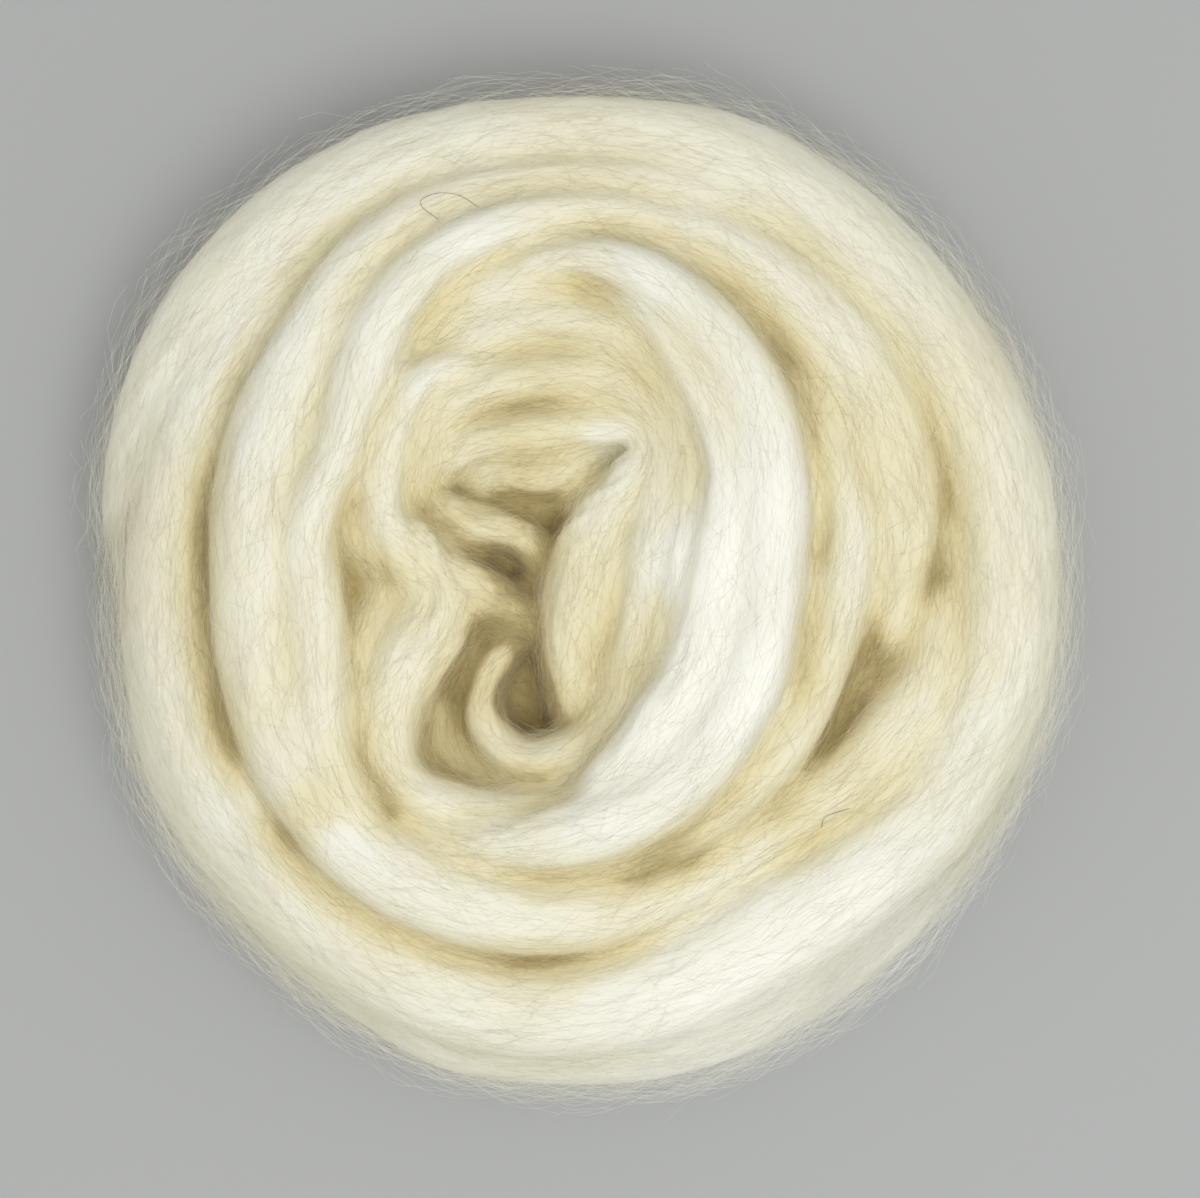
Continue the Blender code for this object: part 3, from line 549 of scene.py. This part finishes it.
def wool(name, shade_tints, streaked):
    """Undyed combed wool: matt, with a slight sheen, and with painted shade, darker and yellower, in
    its hollows.
    """
    material = bpy.data.materials.new(name)
    material.use_nodes = True
    nodes, links = material.node_tree.nodes, material.node_tree.links
    shader = nodes["Principled BSDF"]
    for label, value in (
            ("Roughness", 0.85), ("Specular IOR Level", 0.2), ("Sheen Weight", 0.3),
            ("Sheen Roughness", 0.5), ("Sheen Tint", (1.0, 0.97, 0.88, 1))):
        shader.inputs[label].default_value = value

    def node(kind, **values):
        made = nodes.new(kind)
        for key, value in values.items():
            if key in made.inputs:
                made.inputs[key].default_value = value
            else:
                setattr(made, key, value)
        return made

    # the painted shade of the hollows, stored on the wool
    depth = node("ShaderNodeAttribute", attribute_name="hollow").outputs["Fac"]
    if streaked:
        # soft blotches along the fibres, and the fine grain of their crimp: waves a metre along
        # the turn and round it, and detail
        where = node("ShaderNodeUVMap", uv_map="strand")
        streaks = []
        for waves, detail in (((45, 150, 1), 2.0), ((500, 2400, 1), 3.0)):
            stretch = node("ShaderNodeMapping", Scale=waves)
            links.new(where.outputs["UV"], stretch.inputs["Vector"])
            streak = node("ShaderNodeTexNoise", Scale=1.0, Detail=detail, Roughness=0.65)
            links.new(stretch.outputs["Vector"], streak.inputs["Vector"])
            streaks.append(streak.outputs["Fac"])
        both = node("ShaderNodeMix", data_type="FLOAT", Factor=0.5)
        links.new(streaks[0], both.inputs["A"])
        links.new(streaks[1], both.inputs["B"])
        paler = node("ShaderNodeMapRange", **{
            "From Min": 0.3, "From Max": 0.7, "To Min": 0.1, "To Max": -0.1})
        links.new(both.outputs["Result"], paler.inputs["Value"])
        mottled = node("ShaderNodeMath", operation="ADD")
        links.new(depth, mottled.inputs[0])
        links.new(paler.outputs["Result"], mottled.inputs[1])
        depth = mottled.outputs["Value"]
        bump = node("ShaderNodeBump", Strength=0.35, Distance=0.0004)
        links.new(streaks[1], bump.inputs["Height"])
        links.new(bump.outputs["Normal"], shader.inputs["Normal"])
    # how deep each tint lies, from the crests at 0 to the deepest hollows at 1, darker and yellower as
    # painted shade
    depths = (0, 0.2, 0.42, 0.72, 1)
    ramp = node("ShaderNodeValToRGB")
    ramp.color_ramp.elements.remove(ramp.color_ramp.elements[1])
    for place, colour in zip(depths, shade_tints):
        stop = ramp.color_ramp.elements.new(place) if place else ramp.color_ramp.elements[0]
        stop.color = (*colour, 1)
    links.new(depth, ramp.inputs["Fac"])
    links.new(ramp.outputs["Color"], shader.inputs["Base Color"])
    return material


# tints from the crests down into the deepest hollows, darker and yellower there as painted shade
combed_shade_tints = ((0.95, 0.94, 0.86), (0.875, 0.865, 0.765), (0.82, 0.775, 0.565), (0.76, 0.68, 0.41),
                (0.44, 0.35, 0.15))
body_mesh.materials.append(wool("combed_wool", combed_shade_tints, True))
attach(roving, "root")
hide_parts("roving_coil")

# ---------------------------------------------------------------------------------------------
# The fibres on its surface. Combing lays them nearly side by side along the rope, but many lift
# a little, stray sideways or cross their neighbours.

# how much the fibres of one piece differ: lowest and highest share of what the piece is given
length_shares, thickness_shares = (0.55, 1.3), (0.6, 1.2)
middle_lift_shares, tip_lift_shares = (0.2, 1.2), (0, 1.1)
# most fibres keep near the lay and near the wool, and these powers leave few that don't
stray_power, tip_power = 2.2, 1.5
# a fibre's bend from end to end, how late it rises towards its tip, and how it thins at both ends
bend_share, tip_rise, taper_power, taper_share = 0.9, 1.6, 3, 0.75
# the slow wave in its path: waves a metre, change from fibre to fibre, share of the lift
wave_scale, wave_change, wave_share = 70, 0.37, 1.6
# the sides of its section, and how far above the table it stays, in metres
fibre_sides, clear_of_table = 3, 0.0004


def fibre_tree(name, points, material):
    """A tree that grows fibres on the roving: each follows the lay, lifts and tapers."""
    tree = bpy.data.node_groups.new(name, "GeometryNodeTree")
    face = tree.interface
    face.new_socket("Roving", in_out="INPUT", socket_type="NodeSocketGeometry")
    for label in ("Fibres per m2", "Length", "Thickness", "Stray angle", "Lift at middle",
                  "Lift at tip", "Waviness"):
        face.new_socket(label, in_out="INPUT", socket_type="NodeSocketFloat")
    face.new_socket("Where", in_out="INPUT", socket_type="NodeSocketString")
    face.new_socket("Seed", in_out="INPUT", socket_type="NodeSocketInt")
    face.new_socket("Fibres", in_out="OUTPUT", socket_type="NodeSocketGeometry")
    given = tree.nodes.new("NodeGroupInput").outputs
    link = tree.links.new

    def node(kind, **values):
        made = tree.nodes.new(kind)
        for key, value in values.items():
            setattr(made, key, value)
        return made

    def feed(socket, value):
        """Sets the socket to a value, or links it to another node's socket."""
        if isinstance(value, (int, float, tuple)):
            socket.default_value = value
        elif value is not None:
            link(value, socket)

    def maths(operation, a, b=None):
        made = node("ShaderNodeMath", operation=operation)
        for socket, value in zip(made.inputs, (a, b)):
            feed(socket, value)
        return made.outputs[0]

    def vectors(operation, a, b=None, scale=None):
        made = node("ShaderNodeVectorMath", operation=operation)
        for socket, value in zip(made.inputs, (a, b)):
            feed(socket, value)
        if scale is not None:
            feed(made.inputs["Scale"], scale)
        return made.outputs["Value" if operation == "DOT_PRODUCT" else "Vector"]

    def chance(low, high, key, seed_shift):
        """A number between low and high for each fibre, the same all along it."""
        made = node("FunctionNodeRandomValue", data_type="FLOAT")
        made.inputs[2].default_value = low
        made.inputs[3].default_value = high
        link(key, made.inputs["ID"])
        link(maths("ADD", given["Seed"], seed_shift), made.inputs["Seed"])
        return made.outputs[1]

    def named(label, kind):
        made = node("GeometryNodeInputNamedAttribute", data_type=kind)
        made.inputs["Name"].default_value = label
        return made.outputs["Attribute"]

    def on_roving(value, kind):
        """The value at the spot of the roving that is nearest to each point."""
        made = node("GeometryNodeSampleNearestSurface", data_type=kind)
        link(given["Roving"], made.inputs["Mesh"])
        link(value, made.inputs["Value"])
        return made.outputs["Value"]

    position = node("GeometryNodeInputPosition").outputs[0]
    share_here = node("GeometryNodeInputNamedAttribute", data_type="FLOAT")
    link(given["Where"], share_here.inputs["Name"])
    scatter = node("GeometryNodeDistributePointsOnFaces", distribute_method="RANDOM")
    link(given["Roving"], scatter.inputs["Mesh"])
    link(maths("MULTIPLY", given["Fibres per m2"], share_here.outputs["Attribute"]),
         scatter.inputs["Density"])
    link(given["Seed"], scatter.inputs["Seed"])

    thread = node("GeometryNodeMeshLine", mode="OFFSET")
    thread.inputs["Count"].default_value = points
    thread.inputs["Offset"].default_value = (0, 0, 0)
    place = node("GeometryNodeInstanceOnPoints")
    link(scatter.outputs["Points"], place.inputs["Points"])
    link(thread.outputs["Mesh"], place.inputs["Instance"])
    loose = node("GeometryNodeRealizeInstances")
    link(place.outputs["Instances"], loose.inputs["Geometry"])
    geometry = loose.outputs["Geometry"]

    # each point's number on its fibre, its fibre's number, and its share of the way along
    index = node("GeometryNodeInputIndex").outputs[0]
    rank = maths("MODULO", index, points)
    key = maths("FLOOR", maths("DIVIDE", maths("ADD", index, 0.5), points))
    share = maths("DIVIDE", rank, points - 1)
    step = maths("MULTIPLY", maths("DIVIDE", given["Length"], points - 1),
                 chance(*length_shares, key, 1))
    swing = chance(-1, 1, key, 2)
    swing = maths("MULTIPLY", maths("POWER", maths("ABSOLUTE", swing), stray_power),
                  maths("MULTIPLY", maths("SIGN", swing), given["Stray angle"]))
    bend = maths("MULTIPLY", chance(-1, 1, key, 3), maths("MULTIPLY", given["Waviness"], bend_share))
    heading = maths("SIGN", chance(-1, 1, key, 7))

    # each point steps on from the one before, always onwards where two turns lie opposite ways
    normal_on = node("GeometryNodeInputNormal").outputs[0]
    going = None
    for k in range(1, points):
        lay_at = on_roving(named("lay", "FLOAT_VECTOR"), "FLOAT_VECTOR")
        up_at = on_roving(normal_on, "FLOAT_VECTOR")
        onwards = heading
        if going is not None:
            onwards = maths("SIGN", vectors("DOT_PRODUCT", lay_at, going))
        lay = vectors("SCALE", lay_at, scale=onwards)
        aside = vectors("CROSS_PRODUCT", up_at, lay)
        angle = maths("ADD", swing, maths("MULTIPLY", bend, (k - points / 2) / points))
        way = vectors("ADD", vectors("SCALE", lay, scale=maths("COSINE", angle)),
                      vectors("SCALE", aside, scale=maths("SINE", angle)))
        kept = node("GeometryNodeCaptureAttribute", domain="POINT")
        kept.capture_items.new("VECTOR", "going")
        link(geometry, kept.inputs["Geometry"])
        link(vectors("NORMALIZE", way), kept.inputs["going"])
        going = kept.outputs["going"]
        geometry = kept.outputs["Geometry"]
        onto = node("GeometryNodeProximity", target_element="FACES")
        link(given["Roving"], onto.inputs["Geometry"])
        link(vectors("ADD", position, vectors("SCALE", going, scale=step)),
             onto.inputs["Sample Position"])
        move = node("GeometryNodeSetPosition")
        link(geometry, move.inputs["Geometry"])
        link(maths("GREATER_THAN", rank, k - 0.5), move.inputs["Selection"])
        link(onto.outputs["Position"], move.inputs["Position"])
        geometry = move.outputs["Geometry"]

    # lift off the surface in a low arch, with a free tip and a slow wave
    arch = maths("MULTIPLY", maths("SINE", maths("MULTIPLY", share, math.pi)),
                 maths("MULTIPLY", given["Lift at middle"], chance(*middle_lift_shares, key, 4)))
    tip = maths("MULTIPLY", maths("POWER", share, tip_rise),
                maths("MULTIPLY", given["Lift at tip"],
                      maths("POWER", chance(*tip_lift_shares, key, 5), tip_power)))
    lift = vectors("SCALE", on_roving(normal_on, "FLOAT_VECTOR"), scale=maths("ADD", arch, tip))
    wave = node("ShaderNodeTexNoise", noise_dimensions="4D")
    wave.inputs["Scale"].default_value = wave_scale
    wave.inputs["Detail"].default_value = 1.0
    link(position, wave.inputs["Vector"])
    link(maths("MULTIPLY", key, wave_change), wave.inputs["W"])
    drift = vectors("SCALE", vectors("SUBTRACT", wave.outputs["Color"], (0.5, 0.5, 0.5)),
                    scale=maths("MULTIPLY", given["Waviness"],
                                maths("MULTIPLY", maths("ADD", arch, tip), wave_share)))
    raised = node("GeometryNodeSetPosition")
    link(geometry, raised.inputs["Geometry"])
    link(vectors("ADD", lift, drift), raised.inputs["Offset"])

    # none goes through the table, and each keeps the painted shade of the wool it lies on
    lifted = node("ShaderNodeSeparateXYZ")
    link(position, lifted.inputs[0])
    above = node("ShaderNodeCombineXYZ")
    link(lifted.outputs["X"], above.inputs["X"])
    link(lifted.outputs["Y"], above.inputs["Y"])
    link(maths("MAXIMUM", lifted.outputs["Z"], clear_of_table), above.inputs["Z"])
    level = node("GeometryNodeSetPosition")
    link(raised.outputs["Geometry"], level.inputs["Geometry"])
    link(above.outputs[0], level.inputs["Position"])
    shade_kept = node("GeometryNodeStoreNamedAttribute", data_type="FLOAT", domain="POINT")
    link(level.outputs["Geometry"], shade_kept.inputs["Geometry"])
    shade_kept.inputs["Name"].default_value = "hollow"
    link(on_roving(named("hollow", "FLOAT"), "FLOAT"), shade_kept.inputs["Value"])

    # a thin round section along each, tapered to both its ends
    curve = node("GeometryNodeMeshToCurve")
    link(shade_kept.outputs["Geometry"], curve.inputs["Mesh"])
    radius = node("GeometryNodeSetCurveRadius")
    link(curve.outputs["Curve"], radius.inputs["Curve"])
    off_middle = maths("ABSOLUTE", maths("SUBTRACT", maths("MULTIPLY", share, 2), 1))
    thinning = maths("MULTIPLY", maths("POWER", off_middle, taper_power), taper_share)
    link(maths("MULTIPLY", maths("SUBTRACT", 1.0, thinning), chance(*thickness_shares, key, 6)),
         radius.inputs["Radius"])
    section = node("GeometryNodeCurvePrimitiveCircle")
    section.inputs["Resolution"].default_value = fibre_sides
    link(maths("DIVIDE", given["Thickness"], 2), section.inputs["Radius"])
    hair = node("GeometryNodeCurveToMesh")
    link(radius.outputs["Curve"], hair.inputs["Curve"])
    link(section.outputs["Curve"], hair.inputs["Profile Curve"])
    hair.inputs["Fill Caps"].default_value = True
    real = node("GeometryNodeRealizeInstances")
    link(hair.outputs["Mesh"], real.inputs["Geometry"])
    finish = node("GeometryNodeSetMaterial")
    finish.inputs["Material"].default_value = material
    link(real.outputs["Geometry"], finish.inputs["Geometry"])
    result = node("NodeGroupOutput")
    link(finish.outputs["Geometry"], result.inputs["Fibres"])
    return tree


def grow(name, tree, **sizes):
    """Fibres on the roving as one plain mesh, with the tree's inputs set by name."""
    piece = placed(name, body_mesh)
    growth = piece.modifiers.new("fibres", "NODES")
    growth.node_group = tree
    for socket in tree.interface.items_tree:
        label = socket.name.replace(" ", "_").lower()
        if socket.in_out == "INPUT" and label in sizes:
            growth[socket.identifier] = sizes[label]
    graph = bpy.context.evaluated_depsgraph_get()
    mesh = bpy.data.meshes.new_from_object(piece.evaluated_get(graph))
    piece.modifiers.remove(growth)
    mesh.name = name
    piece.data = mesh
    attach(piece, "root")


# paler than the wool below them, from the crests down into the deepest hollows, darker there as
# painted shade
loose_shade_tints = ((0.96, 0.95, 0.88), (0.91, 0.9, 0.81), (0.85, 0.81, 0.62), (0.79, 0.72, 0.48),
               (0.54, 0.45, 0.24))
loose_wool = wool("loose_fibre", loose_shade_tints, False)
short_tree = fibre_tree("surface_fibres", 5, loose_wool)
# from the neatest fibres to the loosest: stray angle, and lift in millimetres
for number, (stray, lift) in enumerate(((0.3, 0.12), (0.6, 0.2), (1.2, 0.4)), 1):
    grow(f"surface_fibres_{number}", short_tree, fibres_per_m2=75000.0, length=0.013,
         thickness=0.00006, stray_angle=stray, lift_at_middle=lift * MM, lift_at_tip=lift * MM,
         waviness=1.2, where="standing", seed=number)

# ---------------------------------------------------------------------------------------------
# The fibres across its creases. Each fold keeps hold of its neighbours by fibres that reach over
# from one to the next.

grow("bridging_fibres", short_tree, fibres_per_m2=90000.0, length=0.016, thickness=0.00007,
     stray_angle=1.2, lift_at_middle=0.0022, lift_at_tip=0.001, waviness=0.8, where="bridged", seed=7)

# ---------------------------------------------------------------------------------------------
# Fly-away fibres. Round the outside, where the wool has been handled, long fine fibres stand off
# it in loose arcs.

long_tree = fibre_tree("fly_away_fibres", 8, loose_wool)
grow("fly_away_fibres", long_tree, fibres_per_m2=260000.0, length=0.034, thickness=0.00005,
     stray_angle=0.6, lift_at_middle=0.0035, lift_at_tip=0.008, waviness=0.8, where="outside",
     seed=11)

# ---------------------------------------------------------------------------------------------
# Kemp. Two coarse dark hairs that the combs left in lie loose on the wool.

# x, y and height above the wool, in millimetres
kemp_hairs = (
    ((-26, 96, 0.1), (-31, 99, 1.2), (-36, 99.5, 1.6), (-40, 98, 1.4), (-40, 96, 1.0), (-36, 93, 0.1)),
    ((59, -58, 0.1), (60, -55, 0.9), (66, -53, 0.1)))
kemp_radius, kemp_sides, kemp_step, kemp_tip = 0.07, 5, 0.7, 0.35
# the wool is looked for straight down from here, well above it
look_from = 100
wool_surface = BVHTree.FromObject(roving, bpy.context.evaluated_depsgraph_get())
kemp = bmesh.new()
for hair in kemp_hairs:
    resting = []
    for x, y, above in hair:
        landed = wool_surface.ray_cast(Vector((x, y, look_from)) * MM, Vector((0, 0, -1)))[0]
        resting.append((x, y, landed.z / MM + above, kemp_radius))
    points = through(resting, kemp_step)
    rings = []
    for i, point in enumerate(points):
        ahead = (points[min(i + 1, len(points) - 1)] - points[max(i - 1, 0)]).xyz.normalized()
        across = ahead.cross(Vector((0, 0, 1))).normalized()
        over = across.cross(ahead)
        thick = point.w * (kemp_tip if i in (0, len(points) - 1) else 1)
        ring = []
        for k in range(kemp_sides):
            angle = math.tau * k / kemp_sides
            outwards = across * math.cos(angle) + over * math.sin(angle)
            ring.append(kemp.verts.new((point.xyz + outwards * thick) * MM))
        rings.append(ring)
    close_tube(kemp, rings)
bmesh.ops.recalc_face_normals(kemp, faces=kemp.faces)
kemp_mesh = bpy.data.meshes.new("kemp_hairs")
kemp.to_mesh(kemp_mesh)
kemp.free()


def plain(name, colour, roughness):
    """A material of one colour."""
    material = bpy.data.materials.new(name)
    material.use_nodes = True
    shader = material.node_tree.nodes["Principled BSDF"]
    shader.inputs["Base Color"].default_value = (*colour, 1)
    shader.inputs["Roughness"].default_value = roughness
    return material


kemp_mesh.materials.append(plain("dark_kemp", (0.16, 0.11, 0.08), 0.5))
kemp_piece = placed("kemp_hairs", kemp_mesh)
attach(kemp_piece, "root")

# ---------------------------------------------------------------------------------------------
# The table and the light: a plain pale top under a broad soft light from above.

side = 1.6
floor_mesh = bpy.data.meshes.new("table_top")
floor_mesh.from_pydata([(-side, -side, 0), (side, -side, 0), (side, side, 0), (-side, side, 0)],
                       [], [(0, 1, 2, 3)])
floor_mesh.materials.append(plain("table_paint", (0.42, 0.43, 0.43), 0.8))
floor_piece = placed("table_top", floor_mesh)

sky = bpy.data.worlds.new("soft_sky")
bpy.context.scene.world = sky
sky.use_nodes = True
sky.node_tree.nodes["Background"].inputs["Color"].default_value = (1.0, 0.995, 0.97, 1)
sky.node_tree.nodes["Background"].inputs["Strength"].default_value = 0.66

key_place = (0.32, -0.4, 1.42)
light = bpy.data.lights.new("soft_key", "AREA")
light.shape = "DISK"
light.size = 1.1
light.energy = 10
holder = placed("soft_key", light)
holder.location = key_place
holder.rotation_euler = (-Vector(key_place)).to_track_quat("-Z", "Y").to_euler()

# The camera looks straight down, and its picture is this wide at half the nest's height.
width_seen, camera_height, half_nest = 0.3, 1.5, 0.03
eye = bpy.data.cameras.new("eye")
eye.sensor_width = 36
eye.lens = 36 * (camera_height - half_nest) / width_seen
eye_holder = placed("eye", eye)
eye_holder.location = (0.004, -0.001, camera_height)
bpy.context.scene.camera = eye_holder
bpy.context.scene.view_settings.view_transform = "Standard"
